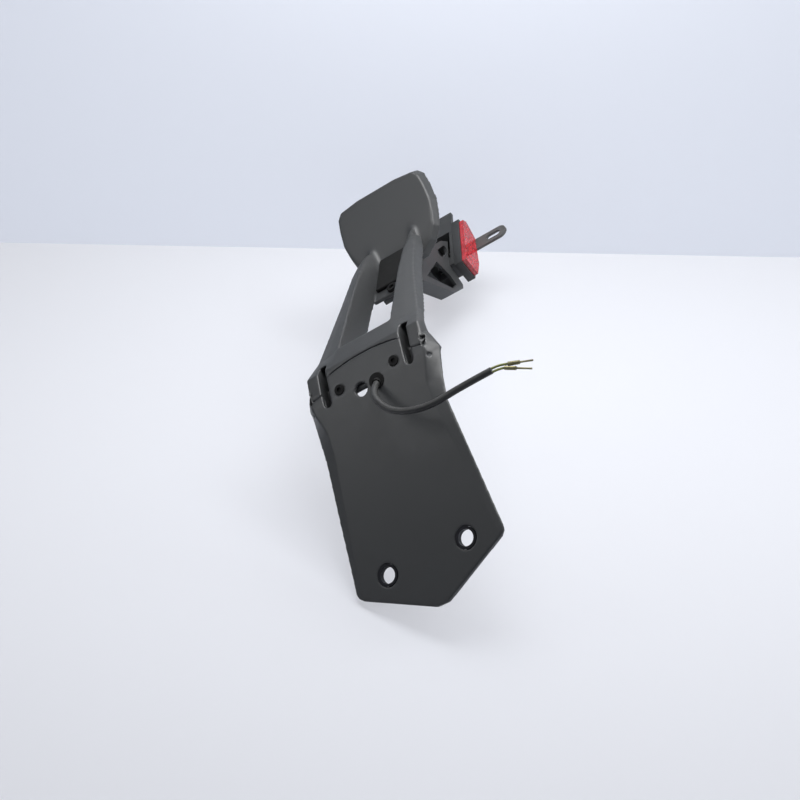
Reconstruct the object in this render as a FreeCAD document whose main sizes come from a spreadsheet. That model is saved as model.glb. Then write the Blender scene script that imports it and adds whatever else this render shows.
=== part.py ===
import FreeCAD, Part
import math
import os
import re
import Sketcher
from FreeCAD import Placement, Rotation, Vector

# Tail tidy: a moulded bracket that carries a number plate, its lamp and two side reflectors.
# Row frame, millimetres: the origin is midway between the two mounting bolts, on the face that
# meets the motorbike. +Z points out of that face, +X to the side, and +Y runs along the bracket
# from the bolts towards the hood.

doc = FreeCAD.newDocument("tail_tidy")
sheet = doc.addObject("Spreadsheet::Sheet", "Sizes")

SIZES = {
    # Mounting face and its two sleeved bolt holes
    "bolt_spacing": 58.0,
    "bolt_hole": 10.5,
    "sleeve_outer": 14.0,
    "sleeve_length": 4.2,
    "boss_outer": 20.0,
    "fit_gap": 0.1,
    # Mount plate: a shallow channel with folded sides and a pointed lower end
    "plate_wall": 3.0,
    "tip_half": 4.4,
    "tip_y": 31.0,
    "corner_half": 54.6,
    "corner_y": 6.5,
    "corner_round": 5.0,
    "edge_rim": 1.0,
    "low_fold": 53.5,
    "low_edge": 57.6,
    "low_drop": 0.5,
    "bolt_row_y": 6.0,
    "bolt_fold": 49.5,
    "bolt_edge": 53.8,
    "bolt_drop": 0.9,
    "waist_y": 85.0,
    "waist_fold": 38.6,
    "waist_edge": 46.9,
    "waist_drop": 1.8,
    "shoulder_y": 100.0,
    "shoulder_fold": 38.5,
    "shoulder_edge": 48.0,
    "shoulder_drop": 4.2,
    "ear_y": 120.0,
    "ear_fold": 44.5,
    "ear_edge": 50.2,
    "ear_drop": 9.4,
    "joint_y": 137.2,
    "joint_half": 27.0,
    "joint_rise": 3.4,
    "joint_face": 3.2,
    "shoulder_low_y": 127.0,
    "end_y": 142.0,
    "end_fold": 46.8,
    "end_edge": 51.8,
    "end_face": 4.2,
    "end_drop": 12.4,
    "notch_half": 13.0,
    "notch_y": 119.0,
    # Holes and slots of the mount plate
    "screw_x": 21.2,
    "screw_y": 124.0,
    "screw_head": 6.6,
    "screw_shank": 4.0,
    "screw_seat": 1.2,
    "wire_x": 6.2,
    "wire_y": 117.0,
    "wire_hole": 9.0,
    "slot_x": 32.0,
    "slot_width": 5.8,
    "slot_low_y": 116.6,
    "slot_shelf_y": 131.0,
    "slot_high_y": 147.0,
    # Stem: a crossbar and two hollow rails round a window, sloping back from the mounting face
    "stem_wall": 3.0,
    "cross_proud": 1.4,
    "flange_y": 110.0,
    "flange_half": 39.5,
    "sill_depth": 24.0,
    "window_y": 156.6,
    "window_z": 16.0,
    "rail_slope": 0.9,
    "rail_lean": 3.5,
    "rail_mid_y": 200.0,
    "rail_high_y": 238.0,
    "rail_end_y": 256.0,
    # Hood: the spade at the far end, parallel to the mounting face
    "hood_z": 108.0,
    "hood_wall": 3.0,
    "hood_skirt": 8.0,
    "hood_flare": 3.0,
    "arch_top_y": 239.0,
    "arch_half": 14.5,
    "arch_round": 7.0,
    # Plate carrier arm behind the hood
    "arm_half": 6.0,
    "web": 2.4,
    "scoop_low_y": 202.0,
    "scoop_low_z": 80.0,
    "scoop_tilt": 37.6,
    "scoop_length": 50.5,
    "scoop_half": 16.4,
    "root_half": 10.0,
    "root_low": 0.5,
    "root_high": 39.5,
    "root_wall": 3.2,
    "arm_screw": 3.0,
    "arm_screw_low": 5.0,
    "arm_screw_high": 35.2,
    "wall_tilt": 29.2,
    "wall_y": 242.7,
    "wall_z": 180.3,
    "wall_length": 59.2,
    "wall_half": 9.5,
    "block_low": 6.0,
    "block_high": 40.0,
    "block_depth": 15.4,
    # Number plate bar and its two screws
    "bar_half": 44.9,
    "bar_width": 11.4,
    "bar_thick": 2.2,
    "bar_slot": 5.0,
    "bar_slot_in": 30.6,
    "bar_slot_out": 37.4,
    "bar_place": 33.2,
    "bar_screw_x": 3.6,
    "bar_screw": 3.0,
    # Side reflectors
    "housing_depth": 6.4,
    "lens_depth": 3.4,
    "stud_place": 20.0,
    "stud_out": 4.5,
    "stud": 4.0,
    # Cable and its two terminals
    "cable": 4.4,
    "grommet_rim": 0.6,
    "grommet_outer": 10.4,
    "wire": 1.5,
    "crimp": 2.6,
    "pin": 1.2,
}

for row, (alias, value) in enumerate(SIZES.items(), start=1):
    sheet.set(f"A{row}", alias)
    sheet.set(f"B{row}", str(value))
    sheet.setAlias(f"B{row}", alias)
doc.recompute()


def cell(text):
    """Expression in which each word that is a size refers to the sheet."""
    return re.sub("[a-z_]+", lambda word: f"Sizes.{word[0]}" if word[0] in SIZES else word[0], text)


def value_of(text):
    """Number that such an expression gives."""
    return float(sheet.evalExpression(cell(text)))


def new_body(label):
    """Body whose label names its file."""
    body = doc.addObject("PartDesign::Body", label)
    body.Label = label
    return body


def plane(body, role):
    """One of a body's own origin planes."""
    return next(item for item in body.Origin.OriginFeatures if item.Role == role)


def place_sketch(body, name, role, shift="0", lift="0", turn="0"):
    """Sketch on an origin plane, moved along its normal and its upright axis, then tilted."""
    sketch = body.newObject("Sketcher::SketchObject", name)
    sketch.AttachmentSupport = [(plane(body, role), "")]
    sketch.MapMode = "FlatFace"
    tilt = Rotation(Vector(1, 0, 0), value_of(turn))
    sketch.AttachmentOffset = Placement(Vector(0, value_of(lift), value_of(shift)), tilt)
    sketch.setExpression("AttachmentOffset.Base.z", cell(shift))
    sketch.setExpression("AttachmentOffset.Base.y", cell(lift))
    if turn != "0":
        sketch.setExpression("AttachmentOffset.Rotation.Angle", cell(turn))
    return sketch


def pin_point(sketch, geometry, vertex, across, along):
    """Ties one point of the sketch to two expressions."""
    for kind, text in (("DistanceX", across), ("DistanceY", along)):
        constraint = Sketcher.Constraint(kind, -1, 1, geometry, vertex, value_of(text))
        index = sketch.addConstraint(constraint)
        sketch.setExpression(f"Constraints[{index}]", cell(text))


def add_outline(sketch, corners):
    """Closed outline of straight lines whose corners are pairs of expressions."""
    points = [Vector(value_of(across), value_of(along), 0) for across, along in corners]
    following = points[1:] + points[:1]
    lines = [sketch.addGeometry(Part.LineSegment(a, b), False) for a, b in zip(points, following)]
    for line, after in zip(lines, lines[1:] + lines[:1]):
        sketch.addConstraint(Sketcher.Constraint("Coincident", line, 2, after, 1))
    for line, (across, along) in zip(lines, corners):
        pin_point(sketch, line, 1, across, along)


def add_circle(sketch, across, along, diameter):
    """Circle whose centre and diameter are expressions."""
    centre = Vector(value_of(across), value_of(along), 0)
    round_line = Part.Circle(centre, Vector(0, 0, 1), value_of(diameter) / 2)
    circle = sketch.addGeometry(round_line, False)
    pin_point(sketch, circle, 3, across, along)
    index = sketch.addConstraint(Sketcher.Constraint("Diameter", circle, value_of(diameter)))
    sketch.setExpression(f"Constraints[{index}]", cell(diameter))


def add_slot(sketch, start, end, width):
    """Straight slot between two centres, with round ends."""
    first = Vector(value_of(start[0]), value_of(start[1]), 0)
    last = Vector(value_of(end[0]), value_of(end[1]), 0)
    radius = value_of(width) / 2
    heading = math.atan2(last.y - first.y, last.x - first.x)
    side = Vector(-math.sin(heading), math.cos(heading), 0) * radius
    up = Vector(0, 0, 1)
    left = sketch.addGeometry(Part.LineSegment(last + side, first + side), False)
    circle = Part.Circle(first, up, radius)
    low = sketch.addGeometry(
        Part.ArcOfCircle(circle, heading + math.pi / 2, heading + 3 * math.pi / 2), False)
    right = sketch.addGeometry(Part.LineSegment(first - side, last - side), False)
    circle = Part.Circle(last, up, radius)
    high = sketch.addGeometry(
        Part.ArcOfCircle(circle, heading - math.pi / 2, heading + math.pi / 2), False)
    for one, other in ((left, low), (low, right), (right, high), (high, left)):
        sketch.addConstraint(Sketcher.Constraint("Tangent", one, 2, other, 1))
    pin_point(sketch, low, 3, *start)
    pin_point(sketch, high, 3, *end)
    index = sketch.addConstraint(Sketcher.Constraint("Radius", low, radius))
    sketch.setExpression(f"Constraints[{index}]", cell(f"{width} / 2"))


def pad(body, sketch, length):
    """Pad along the sketch's normal."""
    feature = body.newObject("PartDesign::Pad", f"{sketch.Name}_pad")
    feature.Profile = sketch
    feature.Length = value_of(length)
    feature.setExpression("Length", cell(length))
    sketch.Visibility = False
    doc.recompute()
    return feature


def pocket(body, sketch, length):
    """Pocket against the sketch's normal; the body must lose volume."""
    before = body.Shape.Volume
    feature = body.newObject("PartDesign::Pocket", f"{sketch.Name}_pocket")
    feature.Profile = sketch
    feature.Length = value_of(length)
    feature.setExpression("Length", cell(length))
    sketch.Visibility = False
    doc.recompute()
    if body.Shape.Volume > before - 0.5:
        raise RuntimeError(f"{feature.Name} removes nothing")
    return feature


def loft(body, name, sections, subtract=False):
    """Ruled loft through a list of sketches."""
    kind = "PartDesign::SubtractiveLoft" if subtract else "PartDesign::AdditiveLoft"
    feature = body.newObject(kind, name)
    feature.Profile = sections[0]
    feature.Sections = sections[1:]
    feature.Ruled = True
    for section in sections:
        section.Visibility = False
    doc.recompute()
    return feature


def mirror(body, features, role="YZ_Plane"):
    """The same features on the other side."""
    feature = body.newObject("PartDesign::Mirrored", f"{features[-1].Name}_mirrored")
    feature.Originals = features
    feature.MirrorPlane = (plane(body, role), [""])
    body.Tip = feature
    doc.recompute()
    return feature


def prism(body, name, corners, start, length, holes=()):
    """Slab of a side view: (y, z) corners, from x = start, as thick as length."""
    sketch = place_sketch(body, name, "YZ_Plane", shift=start)
    add_outline(sketch, corners)
    for hole in holes:
        add_outline(sketch, hole)
    return pad(body, sketch, length)


def mirrored_outline(half):
    """Full outline from its right half, which is listed from low to high."""
    return half + [(f"0 - ( {across} )", along) for across, along in reversed(half)]


def rectangle(half, low, high):
    """Corners of a rectangle that is centred across the bracket."""
    return [(half, low), (half, high), (f"0 - {half}", high), (f"0 - {half}", low)]


# Mount plate: channel sections in planes across Y, joined by straight walls


def plate_section(body, name, along, fold, edge, face, drop):
    """Section of the folded channel at one place along the bracket."""
    wall = "plate_wall"
    half = [
        (edge, f"0 - {face} - {drop} - edge_rim"),
        (edge, f"0 - {face} - {drop}"),
        (fold, f"0 - {face}"),
    ]
    inner = [
        (f"{fold} - 1", f"0 - {face} - {wall}"),
        (f"{edge} - 1.8", f"0 - {face} - {drop} - {wall}"),
    ]
    corners = half
    corners = corners + [(f"0 - ( {a} )", b) for a, b in reversed(half)]
    corners = corners + [(f"0 - ( {a} )", b) for a, b in reversed(inner)]
    corners = corners + inner
    sketch = place_sketch(body, name, "XZ_Plane", shift=f"0 - ( {along} )")
    add_outline(sketch, corners)
    return sketch


mount_plate = new_body("mount_plate")
stations = [
    ("section_tip", "0 - tip_y", "low_fold", "low_edge", "0", "low_drop"),
    ("section_bolts", "bolt_row_y", "bolt_fold", "bolt_edge", "0", "bolt_drop"),
    ("section_waist", "waist_y", "waist_fold", "waist_edge", "0", "waist_drop"),
    ("section_shoulder", "shoulder_y", "shoulder_fold", "shoulder_edge", "0", "shoulder_drop"),
    ("section_ear", "ear_y", "ear_fold", "ear_edge", "0", "ear_drop"),
    ("section_end", "end_y", "end_fold", "end_edge", "end_face", "end_drop"),
]
loft(mount_plate, "plate_channel", [plate_section(mount_plate, *station) for station in stations])

corner_pad = place_sketch(mount_plate, "tip_rim", "XY_Plane", shift="0 - sleeve_length")
add_outline(corner_pad, [
    ("tip_half", "0 - tip_y"),
    ("corner_half - 3", "0 - corner_y - 1.5"),
    ("corner_half - 3", "0 - corner_y + 1.9"),
    ("tip_half - 0.8", "0 - tip_y + 3.2"),
    ("0 - tip_half + 0.8", "0 - tip_y + 3.2"),
    ("3 - corner_half", "0 - corner_y + 1.9"),
    ("3 - corner_half", "0 - corner_y - 1.5"),
    ("0 - tip_half", "0 - tip_y"),
])
pad(mount_plate, corner_pad, "sleeve_length - 1.2")

bosses = place_sketch(mount_plate, "bosses", "XY_Plane", shift="0 - sleeve_length")
for side in ("bolt_spacing / 2", "0 - bolt_spacing / 2"):
    add_circle(bosses, side, "0", "boss_outer")
pad(mount_plate, bosses, "sleeve_length - 1")

trim = place_sketch(mount_plate, "trim", "XY_Plane", shift="10")
add_outline(trim, [("80", "0 - 60"), ("80", "160"), ("0 - 80", "160"), ("0 - 80", "0 - 60")])
add_outline(trim, mirrored_outline([
    ("tip_half", "0 - tip_y"),
    ("corner_half - 4.2", "0 - corner_y - 2"),
    ("corner_half - 1.2", "0 - corner_y + 0.6"),
    ("corner_half", "0 - corner_y + 3.8"),
    ("60", "40"),
    ("60", "shoulder_low_y - 7"),
    ("52", "shoulder_low_y - 4.1"),
    ("slot_x + slot_width / 2 - 1", "shoulder_low_y - 0.1"),
    ("slot_x", "joint_y - 1"),
    ("joint_half", "joint_y"),
    ("joint_half * 0.75", "joint_y + joint_rise * 0.44"),
    ("joint_half * 0.5", "joint_y + joint_rise * 0.75"),
    ("joint_half * 0.25", "joint_y + joint_rise * 0.94"),
]))
pocket(mount_plate, trim, "60")

bolt_holes = place_sketch(mount_plate, "bolt_holes", "XY_Plane", shift="1")
for side in ("bolt_spacing / 2", "0 - bolt_spacing / 2"):
    add_circle(bolt_holes, side, "0", "sleeve_outer + 2 * fit_gap")
pocket(mount_plate, bolt_holes, "sleeve_length + 4")

screw_seats = place_sketch(mount_plate, "screw_seats", "XY_Plane", shift="2")
screw_holes = place_sketch(mount_plate, "screw_holes", "XY_Plane", shift="2")
for side in ("screw_x", "0 - screw_x"):
    add_circle(screw_seats, side, "screw_y", "screw_head + 0.8")
    add_circle(screw_holes, side, "screw_y", "screw_shank + 0.4")
pocket(mount_plate, screw_seats, "2 + screw_seat + 0.6")
pocket(mount_plate, screw_holes, "12")

wire_holes = place_sketch(mount_plate, "wire_holes", "XY_Plane", shift="2")
for side in ("wire_x", "0 - wire_x"):
    add_circle(wire_holes, side, "wire_y", "wire_hole")
pocket(mount_plate, wire_holes, "12")

slots = place_sketch(mount_plate, "slots", "XY_Plane", shift="2")
for side in ("slot_x", "0 - slot_x"):
    add_slot(slots, (side, "slot_low_y + slot_width / 2"), (side, "end_y + 4"), "slot_width")
pocket(mount_plate, slots, "16")


def ear_slots(body, name, lower):
    """Narrow slot beside each fold, across the joint, and a small one under it."""
    sketch = place_sketch(body, name, "XY_Plane", shift="2")
    for sign in ("", "0 - "):
        add_slot(sketch, (f"{sign}43.6", "shoulder_low_y + 3"),
                 (f"{sign}44.2", "shoulder_low_y - 4.4"), "2")
        if lower:
            add_slot(sketch, (f"{sign}44", "shoulder_low_y - 7.4"),
                     (f"{sign}44.8", "shoulder_low_y - 10.2"), "1.6")
    pocket(body, sketch, "11")


ear_slots(mount_plate, "plate_ear_slots", True)

# Steel sleeves that keep the two bolts from crushing the moulding

sleeves = new_body("bolt_sleeves")
ring = place_sketch(sleeves, "sleeve_rings", "XY_Plane", shift="0 - sleeve_length")
for side in ("bolt_spacing / 2", "0 - bolt_spacing / 2"):
    add_circle(ring, side, "0", "sleeve_outer")
    add_circle(ring, side, "0", "bolt_hole")
pad(sleeves, ring, "sleeve_length")

# Stem and hood: one moulding

stem = new_body("stem_hood")


def cross_section(name, along, ridge, face, flank, flank_z, side, side_z, depth):
    """Section across the crossbar, from one side wall to the other."""
    wall = "stem_wall"
    half = [
        (f"{side} - 2", f"0 - ( {side_z} ) - {depth}"),
        (side, f"0 - ( {side_z} ) - {depth} + 0.8"),
        (side, f"0 - ( {side_z} )"),
        (flank, f"0 - ( {flank_z} )"),
        (ridge, f"0 - ( {face} )"),
    ]
    inner = [
        (f"{ridge} - 1", f"0 - ( {face} ) - 1.25 * {wall}"),
        (f"{flank} - 2.4", f"0 - ( {flank_z} ) - 1.1 * {wall}"),
    ]
    corners = half
    corners = corners + [(f"0 - ( {a} )", b) for a, b in reversed(half)]
    corners = corners + [(f"0 - ( {a} )", b) for a, b in reversed(inner)]
    corners = corners + inner
    sketch = place_sketch(stem, name, "XZ_Plane", shift=f"0 - ( {along} )")
    add_outline(sketch, corners)
    return sketch


loft(stem, "crossbar", [
    cross_section("crossbar_low", "shoulder_low_y", "27", "0", "44.6", "1.4", "45.6", "9.4", "3.4"),
    cross_section("crossbar_end", "end_y", "25", "4.4", "43.8", "4.8", "45", "9", "5"),
    cross_section("crossbar_high", "window_y", "20.4", "window_z",
                  "39.3", "window_z + 5.8", "39.8", "window_z + 7", "7.8"),
])

plate_seat = place_sketch(stem, "plate_seat", "XY_Plane", shift="5")
add_outline(plate_seat, mirrored_outline([
    ("slot_x + slot_width / 2 - 1", "100"),
    ("slot_x + slot_width / 2 - 1", "shoulder_low_y + 4"),
    ("slot_x", "joint_y - 1 + fit_gap"),
    ("joint_half", "joint_y + fit_gap"),
    ("joint_half * 0.75", "joint_y + joint_rise * 0.44 + fit_gap"),
    ("joint_half * 0.5", "joint_y + joint_rise * 0.75 + fit_gap"),
    ("joint_half * 0.25", "joint_y + joint_rise * 0.94 + fit_gap"),
]))
pocket(stem, plate_seat, "40")

prism(stem, "lower_flange", [
    ("flange_y", "0 - plate_wall - fit_gap"),
    ("ear_y", "0 - plate_wall - fit_gap"),
    ("end_y", "0 - plate_wall - end_face - fit_gap"),
    ("end_y + 4", "0 - plate_wall - end_face - 3.4"),
    ("end_y + 4", "0 - 2 * plate_wall - end_face - 3.4"),
    ("end_y", "0 - 2 * plate_wall - end_face"),
    ("ear_y", "0 - 2 * plate_wall"),
    ("flange_y", "0 - 2 * plate_wall"),
], "0 - flange_half", "2 * flange_half")
flange_notch = place_sketch(stem, "flange_notch", "XY_Plane", shift="2")
add_outline(flange_notch, rectangle("notch_half", "flange_y - 2", "notch_y"))
pocket(stem, flange_notch, "12")
prism(stem, "window_sill", [
    ("window_y - stem_wall", "0 - window_z"),
    ("window_y", "0 - window_z - 0.6"),
    ("window_y", "0 - window_z - sill_depth"),
    ("window_y - stem_wall", "0 - window_z - sill_depth"),
], "0 - 20.4", "40.8")


def rail_section(name, along, ridge, ridge_z, side, side_z, side_depth, depth, wall):
    """Section across the right rail: inner wall, sloping top and outer wall."""
    foot = f"{ridge} - rail_lean"
    sketch = place_sketch(stem, name, "XZ_Plane", shift=f"0 - ( {along} )")
    add_outline(sketch, [
        (ridge, f"0 - ( {ridge_z} )"),
        (f"( {ridge} + {side} ) / 2", f"0 - ( {ridge_z} + {side_z} ) / 2 + 0.5"),
        (side, f"0 - ( {side_z} )"),
        (f"{side} + 0.6", f"0 - ( {side_z} ) - {side_depth}"),
        (f"{side} - stem_wall", f"0 - ( {side_z} ) - {side_depth}"),
        (f"{side} - stem_wall", f"0 - ( {side_z} ) - {wall} - 0.3"),
        (f"{ridge} + 1.8", f"0 - ( {ridge_z} ) - 1.5 * {wall}"),
        (f"{foot} + stem_wall - 0.6", f"0 - ( {ridge_z} ) - {depth}"),
        (foot, f"0 - ( {ridge_z} ) - {depth}"),
    ])
    return sketch


rails = loft(stem, "rail", [
    rail_section("rail_low", "window_y - 2", "20.6", "window_z - 1.6", "39.9", "window_z + 3.6",
                 "9", "26", "4"),
    rail_section("rail_mid", "rail_mid_y", "18.9", "53.6", "30.5", "57.6", "11.5", "25", "4"),
    rail_section("rail_high", "rail_high_y", "18.1", "89.3", "24.8", "90.6", "13.5", "21", "4"),
    rail_section("rail_end", "rail_end_y", "19", "107.4", "28", "108", "3", "3.6", "1.6"),
])
rails_pair = mirror(stem, [rails])

hood_half = [
    ("18", "231"),
    ("27", "238"),
    ("32.6", "246.5"),
    ("35.2", "255"),
    ("37.2", "265"),
    ("36.4", "277"),
    ("34.9", "285.5"),
    ("31.2", "289.8"),
    ("16", "291.7"),
]


def hood_section(name, depth, grow):
    """Outline of the hood at one depth, grown outwards by a little."""
    half = []
    for across, along in hood_half:
        reach = f"{across} + {grow} * {round(float(across) / 37, 3)}"
        rise = f"{along} + {grow} * {round((float(along) - 258) / 34, 3)}"
        half.append((reach, rise))
    sketch = place_sketch(stem, name, "XY_Plane", shift=f"0 - ( {depth} )")
    add_outline(sketch, mirrored_outline(half))
    return sketch


loft(stem, "hood_shell", [
    hood_section("hood_front", "hood_z", "0"),
    hood_section("hood_back", "hood_z + hood_skirt", "hood_flare"),
])
loft(stem, "hood_hollow", [
    hood_section("hollow_front", "hood_z + hood_wall", "( 0 - hood_wall )"),
    hood_section("hollow_back", "hood_z + hood_skirt + 1", "( hood_flare - hood_wall )"),
], subtract=True)

arch = place_sketch(stem, "arch", "XY_Plane", shift="0 - 60")
add_outline(arch, mirrored_outline([
    ("arch_half", "205"),
    ("arch_half", "arch_top_y - arch_round"),
    ("arch_half - 2", "arch_top_y - arch_round / 2"),
    ("arch_half - arch_round", "arch_top_y"),
]))
pocket(stem, arch, "70")

scoop = place_sketch(stem, "scoop", "XY_Plane", shift="0 - scoop_low_z", lift="scoop_low_y",
                     turn="0 - scoop_tilt")
add_outline(scoop, rectangle("scoop_half", "0", "scoop_length"))
scoop_floor = pad(stem, scoop, "stem_wall")
scoop_floor.Reversed = True
doc.recompute()


slot_well = prism(stem, "slot_well", [
    ("slot_shelf_y - 2.4", "0 - 7"),
    ("end_y", "0 - 9"),
    ("slot_high_y + 2.4", "0 - 14.5"),
    ("slot_high_y + 2.4", "0 - 24"),
    ("slot_shelf_y - 2.4", "0 - 24"),
], "slot_x - slot_width / 2 - 2.4", "slot_width + 4.8")
mirror(stem, [slot_well])
slot_ends = place_sketch(stem, "slot_ends", "XY_Plane", shift="5")
for side in ("slot_x", "0 - slot_x"):
    add_slot(slot_ends, (side, "slot_shelf_y + slot_width / 2"),
             (side, "slot_high_y - slot_width / 2"), "slot_width")
pocket(stem, slot_ends, "26")
ear_slots(stem, "stem_ear_slots", False)

flange_holes = place_sketch(stem, "flange_holes", "XY_Plane", shift="2")
for side in ("screw_x", "0 - screw_x"):
    add_circle(flange_holes, side, "screw_y", "screw_shank + 0.4")
add_circle(flange_holes, "wire_x", "wire_y + 4", "wire_hole + 3")
pocket(stem, flange_holes, "14")


def scoop_sketch(body, name, out):
    """Sketch parallel to the scoop's floor, a little behind its front face."""
    return place_sketch(
        body, name, "XY_Plane",
        shift=f"0 - scoop_low_z - ( {out} ) * cos( scoop_tilt )",
        lift=f"scoop_low_y - ( {out} ) * sin( scoop_tilt )",
        turn="0 - scoop_tilt")


def add_root_bores(sketch, diameter):
    """Two bores for the screws between the scoop and the arm's root."""
    for place in ("arm_screw_low", "arm_screw_high"):
        add_circle(sketch, "0", place, diameter)


scoop_bores = scoop_sketch(stem, "scoop_bores", "0 - 1")
add_root_bores(scoop_bores, "arm_screw + 0.3")
pocket(stem, scoop_bores, "stem_wall + 2")

# Carrier arm: two webs, a rear wall and the block that the reflectors and the bar share

arm = new_body("carrier_arm")
web_outline = [
    ("219.5", "0 - 98.4"),
    ("224.6", "0 - 102.2"),
    ("240.9", "0 - 132"),
    ("252.8", "0 - 153.9"),
    ("261.2", "0 - 169.3"),
    ("265.4", "0 - 178"),
    ("268.6", "0 - 194"),
    ("wall_y", "0 - wall_z"),
    ("240.6", "0 - 181.8"),
    ("231", "0 - 189.4"),
    ("227.2", "0 - 187.6"),
    ("219.4", "0 - 169.5"),
    ("218.6", "0 - 125"),
]
web_window = [
    ("224.6", "0 - 132"),
    ("242.4", "0 - 157"),
    ("234.6", "0 - 172"),
    ("228.2", "0 - 177.6"),
    ("223", "0 - 169.6"),
]
web = prism(arm, "arm_web", web_outline, "arm_half - web", "web", holes=(web_window,))
mirror(arm, [web])
prism(arm, "arm_floor", [
    ("219.2", "0 - 98.2"),
    ("222", "0 - 100.4"),
    ("221.6", "0 - 169"),
    ("228.2", "0 - 185"),
    ("227.2", "0 - 187.6"),
    ("219.4", "0 - 169.5"),
    ("218.6", "0 - 125"),
], "0 - arm_half", "2 * arm_half")

root_plate = scoop_sketch(arm, "root_plate", "stem_wall + fit_gap + root_wall")
add_outline(root_plate, rectangle("root_half", "root_low", "root_high"))
pad(arm, root_plate, "root_wall")


def wall_sketch(body, name, out):
    """Sketch on the rear wall's plane: across it, and along it from its low end."""
    return place_sketch(
        body, name, "XY_Plane",
        shift=f"0 - wall_z - ( {out} ) * cos( wall_tilt )",
        lift=f"wall_y - ( {out} ) * sin( wall_tilt )",
        turn="0 - wall_tilt")


rear_wall = wall_sketch(arm, "rear_wall", "0")
add_outline(rear_wall, rectangle("wall_half", "0", "wall_length"))
pad(arm, rear_wall, "hood_wall")
block = wall_sketch(arm, "block", "block_depth")
add_outline(block, rectangle("wall_half", "block_low", "block_high"))
pad(arm, block, "block_depth + 1")
hollow = wall_sketch(arm, "block_hollow", "0 - hood_wall - 1")
add_outline(hollow, rectangle("wall_half - 2.4", "block_low + 2.4", "block_high - 2.4"))
pocket(arm, hollow, "block_depth + 1 + hood_wall - 3")

oval = place_sketch(arm, "oval_hole", "YZ_Plane", shift="arm_half + 1")
add_slot(oval, ("252.6", "0 - 169.3"), ("258.4", "0 - 180"), "6.4")
pocket(arm, oval, "2 * arm_half + 2")
root_bores = scoop_sketch(arm, "root_bores", "stem_wall - 1")
add_root_bores(root_bores, "arm_screw + 0.3")
pocket(arm, root_bores, "root_wall + 3")
bar_bores = wall_sketch(arm, "bar_bores", "0 - hood_wall - 1")
for side in ("bar_screw_x", "0 - bar_screw_x"):
    add_circle(bar_bores, side, "bar_place", "bar_screw + 0.3")
pocket(arm, bar_bores, "block_depth + hood_wall + 3")
stud_bores = place_sketch(arm, "stud_bores", "YZ_Plane", shift="wall_half + 1")
STUD_Y = "wall_y + stud_place * cos( wall_tilt ) - stud_out * sin( wall_tilt )"
STUD_Z = "0 - wall_z - stud_place * sin( wall_tilt ) - stud_out * cos( wall_tilt )"
add_circle(stud_bores, STUD_Y, STUD_Z, "stud + 0.3")
pocket(arm, stud_bores, "2 * wall_half + 2")

# Number plate bar, slotted at both ends

bar = new_body("number_plate_bar")
bar_face = wall_sketch(bar, "bar_face", "block_depth + bar_thick")
add_slot(bar_face, ("0 - bar_half + bar_width / 2", "bar_place"),
         ("bar_half - bar_width / 2", "bar_place"), "bar_width")
for sign in ("", "0 - "):
    add_slot(bar_face, (f"{sign}bar_slot_in", "bar_place"), (f"{sign}bar_slot_out", "bar_place"),
             "bar_slot")
for side in ("bar_screw_x", "0 - bar_screw_x"):
    add_circle(bar_face, side, "bar_place", "bar_screw + 0.3")
pad(bar, bar_face, "bar_thick - fit_gap")

# Side reflectors: housing with a stud, and a lens with six sides

HOUSING = [
    ("284.6", "0 - 200.4"),
    ("283", "0 - 205.6"),
    ("268.4", "0 - 210.6"),
    ("243.4", "0 - 200.8"),
    ("231.6", "0 - 191.9"),
    ("242.4", "0 - 177.6"),
]
LENS = [
    ("281.9", "0 - 199.7"),
    ("281.6", "0 - 204.7"),
    ("268.2", "0 - 210.1"),
    ("244", "0 - 200.1"),
    ("233.4", "0 - 191.3"),
    ("243.1", "0 - 179.2"),
]
for name, sign in (("right", 1), ("left", -1)):
    housing = new_body(f"reflector_housing_{name}")
    lens = new_body(f"reflector_lens_{name}")
    near = "wall_half + fit_gap"
    far = f"{near} + housing_depth"
    start = near if sign > 0 else f"0 - ( {far} )"
    prism(housing, f"housing_{name}", HOUSING, start, "housing_depth")
    start = f"{far} + fit_gap" if sign > 0 else f"0 - ( {far} + fit_gap + lens_depth )"
    prism(lens, f"lens_{name}", LENS, start, "lens_depth")
    stud_start = f"{near} - 7" if sign > 0 else f"0 - ( {near} )"
    stud = place_sketch(housing, f"stud_{name}", "YZ_Plane", shift=stud_start)
    add_circle(stud, STUD_Y, STUD_Z, "stud")
    pad(housing, stud, "7")


def solid(label, shapes, base=None):
    """Node made of ready shapes; its place may be tied to the sheet."""
    feature = doc.addObject("Part::Feature", label)
    feature.Label = label
    feature.Shape = shapes[0] if len(shapes) == 1 else Part.makeCompound(shapes)
    if base:
        for axis, text in zip("xyz", base):
            feature.setExpression(f"Placement.Base.{axis}", cell(text))
    return feature


UP = Vector(0, 0, 1)


def hexagon(across, height):
    """Upright prism with six sides, that far across its flats."""
    points = []
    for index in range(7):
        angle = math.radians(60 * index)
        points.append(Vector(math.cos(angle), math.sin(angle), 0) * (across / math.sqrt(3)))
    return Part.Face(Part.makePolygon(points)).extrude(UP * height)


def screw(place, heading, head, head_height, shank, length):
    """Socket screw: its head's underside at a place, its shank along a heading."""
    heading = heading.normalize()
    crown = Part.makeCylinder(head / 2, head_height, Vector(0, 0, -head_height), UP)
    shaft = Part.makeCylinder(shank / 2, length, Vector(0, 0, 0), UP)
    socket = hexagon(0.45 * head, 0.65 * head_height)
    socket.translate(Vector(0, 0, -head_height))
    body = crown.fuse(shaft).cut(socket)
    body.Placement = Placement(place, Rotation(UP, heading))
    return body


def nut(place, heading, across, bore, height):
    """Six-sided nut whose near face is at a place."""
    body = hexagon(across, height)
    body = body.cut(Part.makeCylinder(bore / 2, height, Vector(0, 0, 0), UP))
    body.Placement = Placement(place, Rotation(UP, heading))
    return body


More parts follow.
